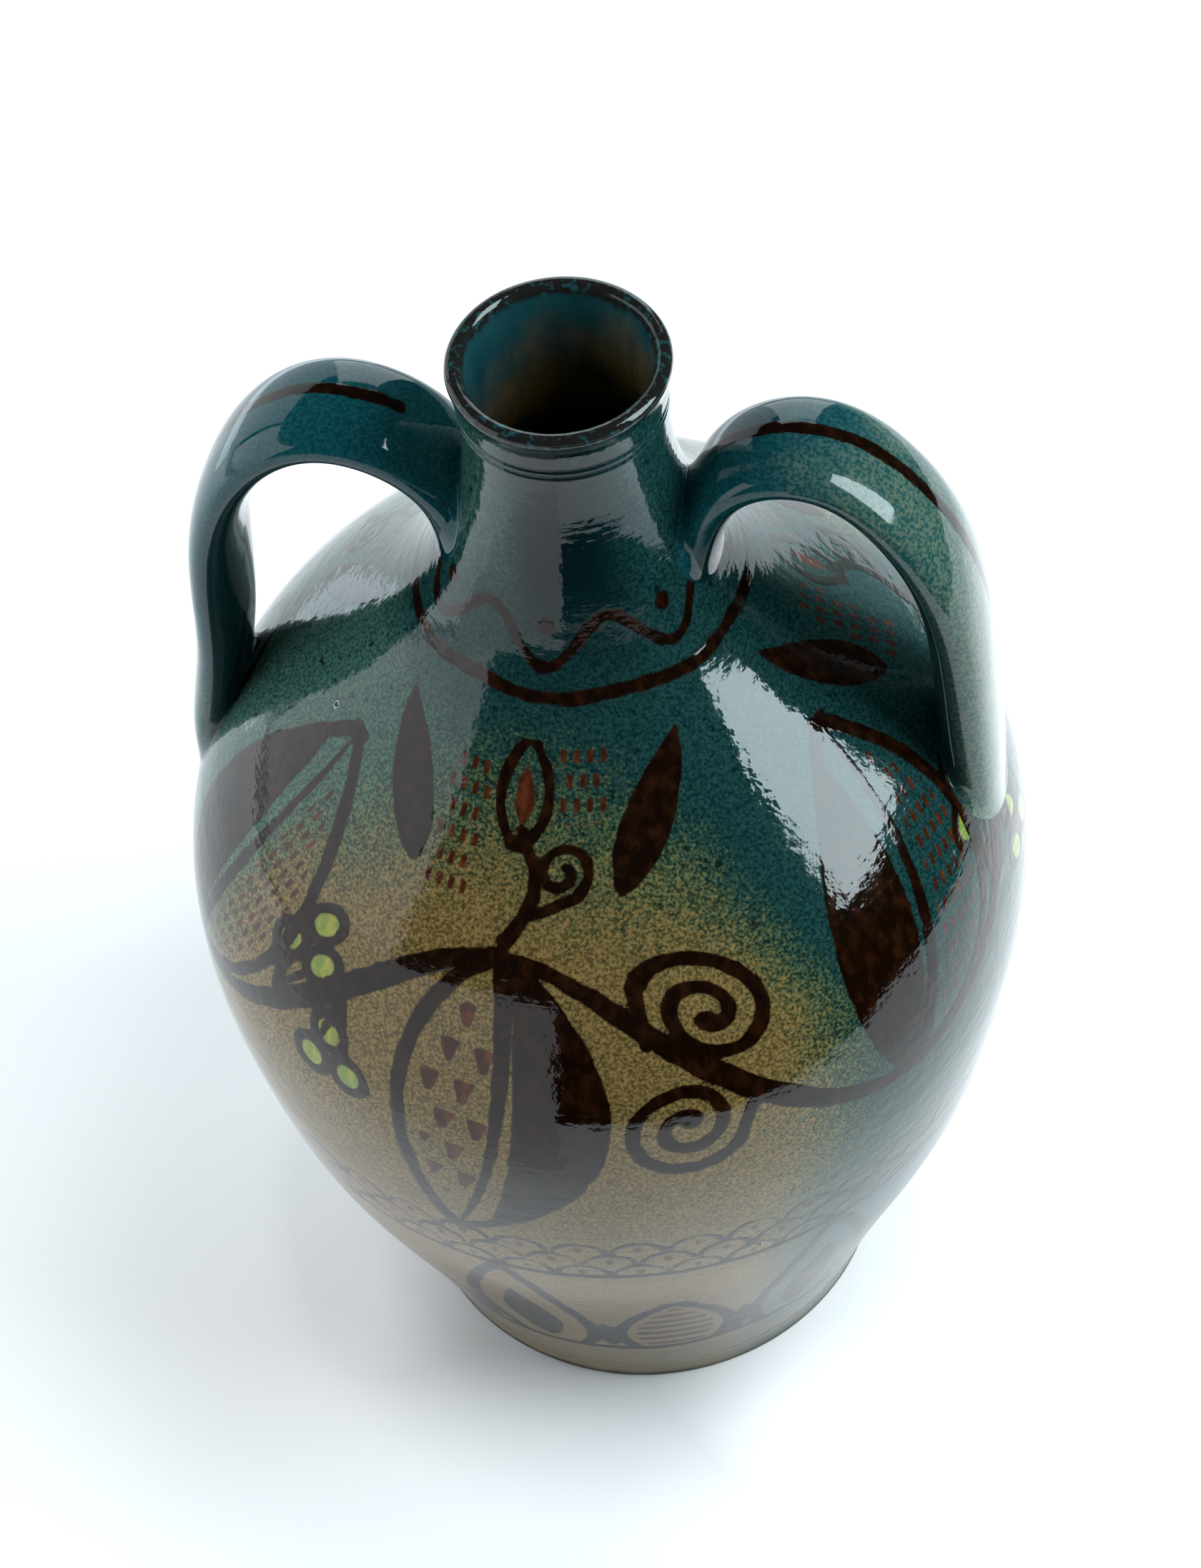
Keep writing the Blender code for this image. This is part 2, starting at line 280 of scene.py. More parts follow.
def pinholes(mix, spacing, size):
    """Share of a burst bubble's dark pit and of its rim, where the glazes paint a pale glint:
    small balls at the middles of half the cells of a Voronoi pattern, spacing mm apart."""
    inputs = {"Vector": mix.place, "Scale": 1 / (spacing * mm), "Randomness": 1.0}
    cells = mix.node("ShaderNodeTexVoronoi", inputs)
    chosen = mix.node("ShaderNodeSeparateColor", {0: cells.outputs["Color"]}).outputs
    distance = mix.times(cells.outputs["Distance"], spacing)
    kept = mix.sum("GREATER_THAN", chosen[0], 0.5)
    wide = mix.times(mix.add(chosen[1], 0.4), size)
    pit = mix.times(mix.step(mix.less(distance, wide), -0.15, 0.15, 1, 0), kept)
    rim = mix.sum("ABSOLUTE", mix.less(distance, mix.times(wide, 1.25)))
    return pit, mix.times(mix.step(rim, 0.05, 0.35, 1, 0), kept)


def glaze_relief(mix, pit, rim, paint=None):
    """The bump of a thrown and glazed face: throwing rings, fine finger lines, orange peel and
    burst bubbles."""
    rings = mix.grain(9.0, 3.0, stretch=(0.06, 0.06, 1.0))
    lines = mix.grain(1.8, 3.0, stretch=(0.12, 0.12, 1.0))
    ripple, dimples, peel = mix.grain(8.0), mix.grain(3.0), mix.grain(1.4)
    heights = [(0.20, rings), (0.045, lines), (0.13, ripple), (0.085, dimples), (0.016, peel)]
    heights += [(-0.5, pit), (0.25, rim)]
    if paint:
        heights.append((0.03, paint))
    mix.relief(*heights)


def bare_clay():
    """Fired terracotta where the glaze is wiped off: red-brown, sandy and dull."""
    mix = Mixing("bare clay")
    red, burnt, sand = (0.30, 0.12, 0.055), (0.19, 0.07, 0.032), (0.42, 0.30, 0.20)
    colour = mix.blend(mix.step(mix.grain(0.6, 3.0), 0.35, 0.65), red, burnt)
    colour = mix.blend(mix.step(mix.grain(2.5), 0.66, 0.72), colour, sand)
    mix.relief((0.12, mix.grain(0.5, 3.0)), (0.25, mix.grain(4.0, stretch=(1, 1, 0.2))))
    return mix.finish(colour, 0.85)


def foot_glaze():
    """The sprayed glaze on the foot, clouded grey, and dark olive in a ragged band at its lower
    edge."""
    mix = Mixing("foot glaze")
    grey, olive = (0.150, 0.135, 0.095), (0.016, 0.015, 0.007)
    colour = sprayed_colour(mix)
    colour = mix.blend(mix.step(mix.grain(11.0, 3.0), 0.3, 0.8, 0.4, 0.8), colour, grey)
    ragged = mix.add(mix.across[2], mix.times(mix.grain(9.0, 3.0), 0.0022))
    edge = mix.step(ragged, 0.0024, 0.0050, 1, 0)
    colour = mix.blend(edge, colour, olive)
    pit, rim = pinholes(mix, 22.0, 0.6)
    # Painted glint: the pinholes' rims are made pale.
    colour = mix.blend(rim, colour, (0.40, 0.38, 0.30))
    glaze_relief(mix, pit, rim)
    colour = mix.blend(pit, colour, (0.010, 0.008, 0.004))
    return mix.finish(colour, mix.step(edge, 0, 1, 0.10, 0.30))


def ring_outline():
    """The ring's outline: an outside that flares upwards by a power, a rounded arris below, the
    flat face it stands on, the recess and the rebate under the bowl. Gives the glazed rows'
    count too."""
    fall = np.linspace(1, 0, 13)[:, None]
    outer = np.concatenate(
        [foot_radius + foot_flare * fall**1.6, foot_arris + (foot_height - foot_arris) * fall],
        axis=1,
    )
    turn = np.linspace(0, math.pi / 2, 7)[1:, None]
    arris = np.concatenate(
        [foot_radius - foot_arris * (1 - np.cos(turn)), foot_arris * (1 - np.sin(turn))], axis=1
    )
    glazed = np.concatenate([outer, arris])[::-1]
    rebate = seat_radius + joint_gap
    ledge = seat_height - joint_gap
    rest = [
        (rebate, foot_height - joint_gap),
        (rebate, ledge),
        (foot_bore, ledge),
        (foot_bore, chamfer_full),
        (foot_bore + chamfer_mid, chamfer_mid),
        (foot_bore + chamfer_full, 0.0),
    ]
    return np.concatenate([glazed, rest]), len(glazed)


ring, glazed_rows = ring_outline()
foot = thrown("foot_ring_glazed", ring, np.zeros_like(ring))
foot.data.materials.append(foot_glaze())
clay = bare_clay()
foot.data.materials.append(clay)
wipe(foot, slice((glazed_rows - 1) * round_steps, None), slice(round_steps))
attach(foot, "root")
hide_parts("foot_ring")

# Lower body
# The bowl of the vase with its floor, thrown in terracotta about 6 mm thick. Brown slips are
# painted on before glazing: petals round the foot, a band of scales and the lower half of a vine.
# The underside is bare clay. The rim is stepped, and the shoulder is luted onto the step.
outline_heights = mm * np.array(
    [13, 29.83, 60.43, 95.62, 130.81, 166, 190.32, 210.08,
     229.84, 249.6, 269.36, 289.12, 304.32, 318, 334]
)
outline_radii = mm * np.array(
    [66, 71.165, 81.532, 93.219, 100.496, 103.7, 100.476, 91.852,
     76.538, 55.904, 39.059, 29.064, 24.631, 23.1, 23.8]
)
belly_radius = 0.1037
belly_height, throat_height = 0.166, 0.318
floor_height, floor_corner = 0.0140, 0.0180
body_wall, neck_wall = 0.0056, 0.0038
lap_height = 0.0070
skin_spacing, inside_spacing = 0.0011, 0.009
unpainted = 9.0


def smooth_curve(knots, values, places):
    """Natural cubic spline: the curve of least bending through the values at the knots."""
    step = np.diff(knots)
    rise = np.diff(values) / step
    system = np.eye(len(knots))
    pull = np.zeros(len(knots))
    for row in range(1, len(knots) - 1):
        system[row, row - 1 : row + 2] = step[row - 1], 2 * (step[row - 1] + step[row]), step[row]
        pull[row] = 6 * (rise[row] - rise[row - 1])
    bend = np.linalg.solve(system, pull)
    cell = np.clip(np.searchsorted(knots, places) - 1, 0, len(knots) - 2)
    right = (places - knots[cell]) / step[cell]
    left = 1 - right
    curve = left * values[cell] + right * values[cell + 1]
    return curve + step[cell] ** 2 / 6 * (
        (left**3 - left) * bend[cell] + (right**3 - right) * bend[cell + 1]
    )


def outside(height):
    """Radius of the thrown outside at a height: the spline through the outline's places, held
    to the belly's radius."""
    return np.minimum(smooth_curve(outline_heights, outline_radii, height), belly_radius)


def facing(height):
    """Radial and vertical part of the outside's normal: square to the outline's slope, taken
    between heights a very little below and above."""
    little = 1e-5
    slope = (outside(height + little) - outside(height - little)) / (2 * little)
    length = np.sqrt(1 + slope**2)
    return 1 / length, -slope / length


fine_heights = np.linspace(outline_heights[0], outline_heights[-1], 4000)
fine_radii = outside(fine_heights)
fine_climb = np.cumsum(
    np.hypot(
        np.diff(fine_heights, prepend=fine_heights[0]), np.diff(fine_radii, prepend=fine_radii[0])
    )
)


def climb(height):
    """How far up the outside a height is from the belly, along the outline, in metres."""
    along = np.interp(height, fine_heights, fine_climb)
    return along - np.interp(belly_height, fine_heights, fine_climb)


def rows(low, high, spacing):
    """Heights from low to high that are evenly spaced along the outline."""
    ends = np.interp([low, high], fine_heights, fine_climb)
    count = max(2, math.ceil((ends[1] - ends[0]) / spacing) + 1)
    heights = np.interp(np.linspace(*ends, count), fine_climb, fine_heights)
    heights[0], heights[-1] = low, high
    return heights


def wall(height):
    """Thickness of the wall, which thins evenly from the belly to the throat."""
    return np.interp(height, (belly_height, throat_height), (body_wall, neck_wall))


def within(height, depth):
    """Points (radius, height) a depth under the outside, square to it."""
    height = np.atleast_1d(np.asarray(height, float))
    radial, vertical = facing(height)
    return np.stack([outside(height) - depth * radial, height - depth * vertical], axis=-1)


def step_up(seam):
    """The step on a rim: from the seam at the outside in and up to the wall's inner face."""
    half = wall(seam) / 2 + joint_gap / 2
    low, top = seam - joint_gap / 2, seam + lap_height
    return np.concatenate([within(low, half), within(top, half), within(top, wall(top))])


def step_round(seam):
    """The step under a piece, which fits round the one below: from the inner face outwards."""
    half = wall(seam) / 2 - joint_gap / 2
    low, top = seam + joint_gap / 2, seam + lap_height + joint_gap
    return np.concatenate([within(top, wall(top)), within(top, half), within(low, half)])


def with_lean(outline, start, heights):
    """Normals of an outline: those of the outside for its rows from start on, else 0, 0."""
    lean = np.zeros_like(outline)
    lean[start : start + len(heights)] = np.stack(facing(heights), axis=-1)
    return lean


def keep_layer(piece, name, values):
    """Keeps one number, or three, for each corner of the piece as a layer."""
    kind, key = ("FLOAT", "value") if values.ndim == 1 else ("FLOAT_VECTOR", "vector")
    layer = piece.data.attributes.new(name, kind, "POINT")
    layer.data.foreach_set(key, values.astype(np.float32).ravel())


def brushed(piece, name, first_row, values):
    """Keeps a painted layer on the piece: its rows from first_row on hold the values, and the
    rest are unpainted."""
    layer = np.full((len(piece.data.vertices), 3), unpainted)
    values = values.reshape(-1, 3)
    start = first_row * round_steps
    layer[start : start + len(values)] = values
    keep_layer(piece, name, layer)


def brush(u, v, path, half_widths):
    """Distance to the edge of a brush line: the least, over the straight bits of its path, of
    how far the point is from the bit less half the line's width there."""
    start, run = path[:-1], np.diff(path, axis=0)
    away_u, away_v = u[:, None] - start[:, 0], v[:, None] - start[:, 1]
    share = np.clip((away_u * run[:, 0] + away_v * run[:, 1]) / (run**2).sum(axis=1), 0, 1)
    gap = np.hypot(away_u - share * run[:, 0], away_v - share * run[:, 1])
    half = half_widths[:-1] + share * np.diff(half_widths)
    return (gap - half).min(axis=1)


def ball(u, v, centre, radius):
    """Distance to the edge of a round dab."""
    return np.hypot(u - centre[0], v - centre[1]) - radius


def leaf_shape(along, off, length, half_width, fullness):
    """Distance to the edge of a leaf: its half width is a sine of the way along to a power,
    widest a little nearer the stalk than the tip."""
    share = np.clip(along / length, 0, 1)
    places = np.linspace(0, 1, 60)
    curve = np.maximum(np.sin(math.pi * places**0.85), 0) ** fullness
    wide = half_width * np.interp(share, places, curve)
    steep = half_width / length * np.interp(share, places, np.gradient(curve, places))
    past = np.maximum(along - length, -along)
    return np.maximum((np.abs(off) - wide) / np.sqrt(1 + np.clip(steep, -3, 3) ** 2), past)


def cells_round(azimuth, radius, count, shift=0.0):
    """Splits the way round into a count of like cells, moved on by a shift. Gives each place's
    cell with its fraction, and how far it is from the cell's middle, in mm."""
    cell = azimuth / 360 * count + shift
    return cell, (np.mod(cell, 1) - 0.5) * math.tau * radius / count


def lay(picture, slip, *shapes):
    """Adds shapes to what a slip has painted: the least of their distances."""
    for shape in shapes:
        picture[slip] = np.minimum(picture[slip], shape)


def lay_dashes(picture, field, u, v):
    """Adds a field of dashes. A place that it is nearer to than other fields takes its u, v."""
    nearer = field < picture["zone"]
    picture["dash_u"] = np.where(nearer, u, picture["dash_u"])
    picture["dash_v"] = np.where(nearer, v, picture["dash_v"])
    lay(picture, "zone", field)


vine_turns, vine_phase = 3, -95.0
vine_middle, vine_swing, vine_half = 36.0, 30.0, 2.6
ground_rise, scales_rise = -137.0, -49.0
line_half, inset = 1.9, 4.2


def vine_at(azimuth):
    """The stem's climb in mm, a cosine of the azimuth in degrees."""
    return vine_middle + vine_swing * np.cos(np.radians(vine_turns * (azimuth - vine_phase)))


def draw_leaf(picture, u, v, bay, upward, hand):
    """A big leaf from the stem, bowed by a parabola: one half dark, a midrib, and on the other
    half rows of wedges, or dashes in every second bay."""
    bow, row_tall, wedge_apart = 7.0, 10.5, 8.5
    side = 1 if bay % 3 else -1
    lean = math.radians(9.0 * side + hand.uniform(-3, 3))
    length, half_width = 92.0 + hand.uniform(-4, 4), 25.0
    turned_u = u * math.cos(lean) - upward * v * math.sin(lean)
    along = upward * v * math.cos(lean) + u * math.sin(lean)
    share = np.clip(along / length, 0, 1)
    off = side * (turned_u - bow * 4 * share * (1 - share))
    body = leaf_shape(along, off, length, half_width, 0.80)
    dark = np.maximum(body, off + 1.5 + 5.0 * share)
    rib = np.maximum(np.abs(off) - (2.6 - 1.9 * share), np.maximum(-along, along - length))
    lay(picture, "line", np.abs(body) - line_half, dark, rib)
    if bay % 2:
        lay_dashes(picture, np.maximum(body + inset, 4.4 - off), off, along)
        return
    row = np.floor(along / row_tall)
    cell_v = along - row_tall * (row + 0.5)
    cell_u = np.mod(off + 4.0 * np.mod(row, 2), wedge_apart) - wedge_apart / 2
    wedge = np.abs(cell_u) - (0.85 + 0.29 * (upward * cell_v + 3.2))
    wedge = np.maximum(wedge, np.abs(cell_v) - 3.3)
    room = np.maximum(body + 5.0, 3.0 - (off - cell_u))
    lay(picture, "dab", np.maximum(wedge, room))


def draw_tendril(picture, u, v, start, centre, radius, sense):
    """A spiral tendril: an even spiral of one and three quarter turns, led in from the stem."""
    turn = np.linspace(0, 1, 64)
    reach = radius * (0.16 + 0.84 * turn)
    first = math.atan2(start[1] - centre[1], start[0] - centre[0])
    angle = first + sense * (1 - turn) * 3.5 * math.pi + sense * 0.9
    curl = [centre[0] + reach * np.cos(angle), centre[1] + reach * np.sin(angle)]
    path = np.concatenate([np.stack(curl, axis=-1), [start]])
    half = np.concatenate([np.interp(turn, (0, 0.12, 1), (2.9, 1.7, 2.0)), [1.4]])
    lay(picture, "line", brush(u, v, path, half))


def draw_berries(picture, u, v, start, centre, spread):
    """Three berries on short stalks, each a dark ring round a yellow-green middle."""
    for turn in (90, 210, 330):
        middle = (
            centre[0] + spread * math.cos(math.radians(turn)),
            centre[1] + spread * math.sin(math.radians(turn)),
        )
        berry = ball(u, v, middle, 3.3)
        stalk = brush(u, v, np.array([start, middle]), np.array([1.1, 1.1]))
        lay(picture, "line", np.abs(ball(u, v, middle, 4.8)) - 1.5, np.maximum(stalk, -berry))
        lay(picture, "bright", berry)


def draw_bud(picture, u, v):
    """A bud on a stalk bowed by a sine, with a pointed blade at each side of it, and a small
    curl and rows of dashes between."""
    base = 4.0
    turn = np.linspace(0, 1, 24)
    stalk = np.stack([5.0 * np.sin(math.pi * turn), base + 26.0 * turn], axis=-1)
    bud = leaf_shape(v - base - 22.0, u, 25.0, 5.6, 0.8)
    lay(picture, "line", brush(u, v, stalk, 2.0 - 0.7 * turn), np.abs(bud) - 1.3)
    lay(picture, "dab", bud + 3.4)
    for side in (-1, 1):
        across, up, tilt = u - side * 25.0, v - base - 11.0, math.radians(13.0 * side)
        along = up * math.cos(tilt) + across * math.sin(tilt)
        off = across * math.cos(tilt) - up * math.sin(tilt)
        lay(picture, "line", leaf_shape(along, off, 36.0, 6.5, 0.75))
    curl = np.linspace(0, 2.6 * math.pi, 40) + 2.2
    size = np.linspace(1.6, 7.0, 40)
    path = np.stack([10.5 - size * np.cos(curl), base + 17.0 + size * np.sin(curl)], axis=-1)
    path = np.concatenate([path, [(3.5, base + 6.0)]])
    lay(picture, "line", brush(u, v, path, np.full(len(path), 1.3)))
    for side, low, high in ((-1, 8.0, 42.0), (1, 28.0, 48.0)):
        off = side * u - 12.5 - 0.12 * (base + 40.0 - v)
        tall = np.abs(v - base - (low + high) / 2) - (high - low) / 2
        lay_dashes(picture, np.maximum(np.abs(off) - 5.2, tall), off, v)


def draw_petals(picture, azimuth, rise, radius):
    """A row of upright petals on the ground line, tall ones with a dark core and short ones
    with bars across, and a drop between each two."""
    count, bars_apart = 14, 8.0
    cell, u = cells_round(azimuth + 9.0, radius, count)
    tall = np.mod(np.floor(cell), 2) == 0
    length = np.where(tall, 84.0, 58.0)
    along = rise - ground_rise
    body = leaf_shape(along + 9.0, u, length + 9.0, 14.5, 0.62)
    core = leaf_shape(along - 4.0, u, length - 22.0, 7.0, 0.9)
    between = (cell - np.round(cell)) * math.tau * radius / count
    lay(picture, "line", np.maximum(np.abs(body) - line_half, -along - 1.0))
    lay(picture, "line", np.where(tall, core, unpainted))
    lay(picture, "line", leaf_shape(along - 2.0, between, 34.0, 3.4, 1.0))
    bar = np.abs(np.mod(along, bars_apart) - bars_apart / 2) - line_half
    bars = np.maximum(np.maximum(bar, body + inset), 3.0 - along)
    lay(picture, "dab", np.where(tall, unpainted, bars))


def draw_scales(picture, azimuth, rise, radius):
    """Three rows of scales over a ring, each a half circle with a red dab under its crown."""
    count, row_tall = 44, 7.2
    for row in range(3):
        _, u = cells_round(azimuth, radius, count, 0.5 * row)
        v = rise - scales_rise - row_tall * row
        lay(picture, "line", np.maximum(np.abs(np.hypot(u, v) - 6.4) - 0.75, -v))
        lay(picture, "dab", np.hypot(u, 0.6 * (v - 2.6)) - 1.0)
    lay(picture, "line", np.abs(rise - scales_rise + 1.0) - 1.1)


def slip_painting(height, azimuth):
    """The slip painting at each height and azimuth, as distances in mm to the edges of the
    brown lines, red-brown dabs and bright dabs, and a field of small dashes. The vine's
    distance is the climb from it over the root of one and its slope squared."""
    rise = climb(height)[:, None] / mm + 0 * azimuth
    radius = outside(height)[:, None] / mm + 0 * azimuth
    azimuth = azimuth + 0 * rise
    picture = {name: np.full(rise.shape, unpainted) for name in ("line", "dab", "bright", "zone")}
    picture.update({name: np.zeros(rise.shape) for name in ("dash_u", "dash_v")})
    hand = np.random.default_rng(7)

    turned = np.radians(vine_turns * (azimuth - vine_phase))
    slope = vine_swing * vine_turns * np.sin(turned) / radius
    swell = vine_half * (1 + 0.25 * np.cos(np.radians(2 * vine_turns * azimuth)))
    lay(picture, "line", np.abs(rise - vine_at(azimuth)) / np.sqrt(1 + slope**2) - swell)
    ground = ground_rise + 1.2 * np.sin(np.radians(5 * azimuth))
    ground = ground + 0.8 * np.sin(np.radians(11 * azimuth))
    lay(picture, "line", np.abs(rise - ground) - line_half)
    draw_petals(picture, azimuth, rise, radius)
    draw_scales(picture, azimuth, rise, radius)

    for bay in range(2 * vine_turns):
        middle = vine_phase + bay * 180.0 / vine_turns
        upward = 1 if bay % 2 else -1
        u_all = (np.mod(azimuth - middle + 180, 360) - 180) * np.pi / 180 * radius
        v_all = rise - vine_at(middle)
        near = (np.abs(u_all) < 78) & (np.abs(v_all) < 112)
        u, v = u_all[near], v_all[near]
        part = {name: values[near] for name, values in picture.items()}
        draw_leaf(part, u, v, bay, upward, hand)
        side = -upward
        stem_there = vine_at(middle + side * 26.0) - vine_at(middle)
        tendril_start = (side * 62.0, vine_at(middle + side * 36.0) - vine_at(middle))
        tendril_middle = (side * 45.0, stem_there + upward * 21.0)
        draw_tendril(part, u, v, tendril_start, tendril_middle, 15.5, side * upward)
        berries_middle = (-side * 44.0, stem_there + upward * 19.0)
        draw_berries(part, u, v, (-side * 40.0, stem_there), berries_middle, 6.6)
        if upward < 0:
            draw_bud(part, u, v)
        for name, values in part.items():
            picture[name][near] = values

    paint = np.stack([picture[name] for name in ("line", "dab", "bright")], axis=-1)
    dashes = np.stack([picture[name] for name in ("dash_u", "dash_v", "zone")], axis=-1)
    return np.clip(paint, -unpainted, unpainted), dashes


dash_wide, dash_tall, dash_shift = 3.0, 5.6, 1.6
dash_half_wide, dash_half_tall, dash_round = 0.2, 1.1, 0.48
brown_thick, brown_thin = (0.0046, 0.0016, 0.0006), (0.017, 0.0055, 0.0018)
red_thick, red_thin = (0.030, 0.0075, 0.003), (0.090, 0.023, 0.008)
yellow_thick, yellow_thin = (0.13, 0.20, 0.035), (0.30, 0.27, 0.050)


def painted(mix, colour):
    """Lays the slips on the glaze colour: dashes, red-brown dabs, bright dabs and brown lines.
    An edge sits where a distance is nought, shifted a little by noise as a brush does. A dash
    is a rounded oblong in its cell of the field, and every second row of cells is moved on."""
    line, dab, bright = mix.layer("slip_paint")
    bleed = mix.swing(mix.grain(0.7), 0.5)
    shift = mix.add(mix.swing(mix.grain(6.0), 1.6), bleed)
    body = mix.step(mix.grain(3.0, 4.0, stretch=(1, 1, 0.4)), 0.42, 0.72)
    brown = mix.blend(body, brown_thick, brown_thin)
    red = mix.blend(body, red_thick, red_thin)
    yellow = mix.blend(body, yellow_thick, yellow_thin)
    u, v, zone = mix.layer("slip_dashes")
    row = mix.sum("FLOOR", mix.sum("DIVIDE", v, dash_tall))
    moved = mix.add(u, mix.times(mix.sum("PINGPONG", row, 1.0), dash_shift))
    past = []
    for way, cell, half in ((moved, dash_wide, dash_half_wide), (v, dash_tall, dash_half_tall)):
        from_middle = mix.less(mix.sum("FLOORED_MODULO", way, cell), cell / 2)
        past.append(mix.most(mix.less(mix.sum("ABSOLUTE", from_middle), half), 0.0))
    dash = mix.most(mix.less(mix.length(*past), dash_round), zone)
    for distance, ragged, paint, soft in (
        (dash, bleed, red, 0.25),
        (dab, shift, red, 0.3),
        (bright, shift, yellow, 0.3),
        (line, shift, brown, 0.3),
    ):
        cover = mix.step(mix.add(distance, ragged), -soft, soft, 1, 0)
        colour = mix.blend(cover, colour, paint)
    return colour, mix.step(mix.add(line, shift), -0.8, 0.4, 1, 0)


def body_glaze(name):
    """Clear glaze, sprayed ochre to teal and hazy beside the foot, over brown slip painting."""
    mix = Mixing(name)
    haze = mix.step(mix.across[2], 0.012, 0.050, 0.75, 0.0)
    colour = mix.blend(haze, sprayed_colour(mix), (0.165, 0.145, 0.100))
    colour, line = painted(mix, colour)
    pit, rim = pinholes(mix, 26.0, 0.55)
    # Painted glint: the pinholes' rims are made pale.
    colour = mix.blend(rim, colour, (0.42, 0.42, 0.40))
    colour = mix.blend(pit, colour, (0.012, 0.012, 0.014))
    glaze_relief(mix, pit, rim, line)
    return mix.finish(colour, mix.step(mix.grain(14.0, 3.0), 0.3, 0.7, 0.045, 0.085))


corner_turn = np.linspace(0, math.pi / 2, 9)
corner_height = floor_height + floor_corner
corner_foot = within(corner_height, wall(corner_height))[0, 0]
corner = np.stack(
    [
        corner_foot - floor_corner * (1 - np.cos(corner_turn)),
        corner_height - floor_corner * np.sin(corner_turn),
    ],
    axis=-1,
)
bowl_heights = rows(foot_height, belly_height, skin_spacing)
bowl_inner = rows(corner_height, belly_height + lap_height, inside_spacing)[-2:0:-1]
underside = np.array(
    [
        (0, seat_height),
        (seat_radius / 2, seat_height),
        (seat_radius, seat_height),
        (seat_radius, foot_height),
    ]
)
bowl_outline = np.concatenate(
    [
        underside,
        within(bowl_heights, 0),
        step_up(belly_height),
        within(bowl_inner, wall(bowl_inner)),
        corner,
        [(corner_foot * 0.4, floor_height), (0, floor_height)],
    ]
)
bowl_lean = with_lean(bowl_outline, len(underside), bowl_heights)
bowl = thrown("lower_body_glazed", bowl_outline, bowl_lean, on_axis=True)
turn_degrees = 360.0 * np.arange(round_steps) / round_steps
bowl_paint, bowl_dashes = slip_painting(bowl_heights, turn_degrees)
brushed(bowl, "slip_paint", len(underside) - 1, bowl_paint)
brushed(bowl, "slip_dashes", len(underside) - 1, bowl_dashes)
bowl.data.materials.append(body_glaze("bowl glaze"))
bowl.data.materials.append(clay)
wipe(bowl, slice((len(underside) - 1) * round_steps), slice(-2 * round_steps, -round_steps))
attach(bowl, "root")
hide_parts("lower_body")

# Shoulder
# A thrown ring of terracotta from the belly up to the foot of the neck, luted onto the bowl's
# stepped rim. It carries the upper half of the vine, and the glaze turns from ochre to teal.
upper_rise = 0.152
neck_seam = belly_height + 0.6316 * upper_rise
shoulder_heights = rows(belly_height, neck_seam, skin_spacing)
shoulder_low = belly_height + lap_height + joint_gap
shoulder_inner = rows(shoulder_low, neck_seam + lap_height, inside_spacing)[-2:0:-1]
shoulder_outline = np.concatenate(
    [
        within(shoulder_heights, 0),
        step_up(neck_seam),
        within(shoulder_inner, wall(shoulder_inner)),
        step_round(belly_height),
    ]
)
shoulder_lean = with_lean(shoulder_outline, 0, shoulder_heights)
shoulder = thrown("shoulder_glazed", shoulder_outline, shoulder_lean)
shoulder_paint, shoulder_dashes = slip_painting(shoulder_heights, turn_degrees)
brushed(shoulder, "slip_paint", 0, shoulder_paint)
brushed(shoulder, "slip_dashes", 0, shoulder_dashes)
shoulder.data.materials.append(body_glaze("shoulder glaze"))
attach(shoulder, "root")
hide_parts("shoulder")

# Neck
# The neck is thrown as its own ring: a flared collar, a narrow throat with two turned grooves and
# a rolled lip. Glazed teal in and out, with a brown running wave over a plain band, and dark
# along the lip.
vase_height, lip_radius, lip_round = 0.340, 0.0247, 0.0019
under_lip = vase_height - 0.0060
groove_heights = vase_height - np.array([0.0132, 0.0110])
groove_depth, groove_half = 0.0004, 0.0008
grooves_low, grooves_high, groove_rows = 0.3245, 0.3315, 36
above_grooves = (0.3324, 0.3332)
leaning_rows, bore_spacing = 40, 0.004


def neck_depth(height):
    """How far the grooves are cut in: for each, a cosine dip one groove wide."""
    depth = 0 * height
    for middle in groove_heights:
        across = np.clip((height - middle) / groove_half, -1, 1)
        depth = depth + groove_depth * (1 + np.cos(math.pi * across)) / 2
    return depth


neck_heights = np.concatenate(
    [
        rows(neck_seam, grooves_low, skin_spacing)[:-1],
        np.linspace(grooves_low, grooves_high, groove_rows),
        above_grooves,
        [under_lip],
    ]
)
lip_turn = np.linspace(math.radians(-38), math.pi, 17)
lip = np.stack(
    [
        lip_radius - lip_round + lip_round * np.cos(lip_turn),
        vase_height - lip_round + lip_round * np.sin(lip_turn),
    ],
    axis=-1,
)
bore_heights = rows(neck_seam + lap_height + joint_gap, under_lip, bore_spacing)[:0:-1]
neck_outline = np.concatenate(
    [
        within(neck_heights, neck_depth(neck_heights)),
        lip,
        within(bore_heights, wall(bore_heights)),
        step_round(neck_seam),
    ]
)
neck_lean = with_lean(neck_outline, 0, neck_heights[:leaning_rows])
neck = thrown("neck_glazed", neck_outline, neck_lean)


def neck_painting(height, azimuth):
    """Distances in mm to a brown running wave, round dots in its hollows and a plain band. The
    wave's distance is the rise from it over the root of one and its slope squared."""
    rise = height[:, None] / mm
    radius = outside(height)[:, None] / mm
    count, low, swing = 7, 282.0, 5.5
    cell, u = cells_round(azimuth, radius, count, 0.3)
    slope = swing * count * np.sin(math.tau * cell) / radius
    wave = np.abs(rise - low - swing * np.cos(math.tau * cell)) / np.sqrt(1 + slope**2) - 1.3
    dot = ball(u, rise, (0.0, low + 3.4), 2.1)
    band = np.abs(rise - (low - 11.5) + 0.5 * np.sin(np.radians(7 * azimuth))) - 1.4
    line = np.clip(np.minimum(np.minimum(wave, dot), band), -unpainted, unpainted)
    nothing = np.full_like(line, unpainted)
    return np.stack([line, nothing, nothing], axis=-1)


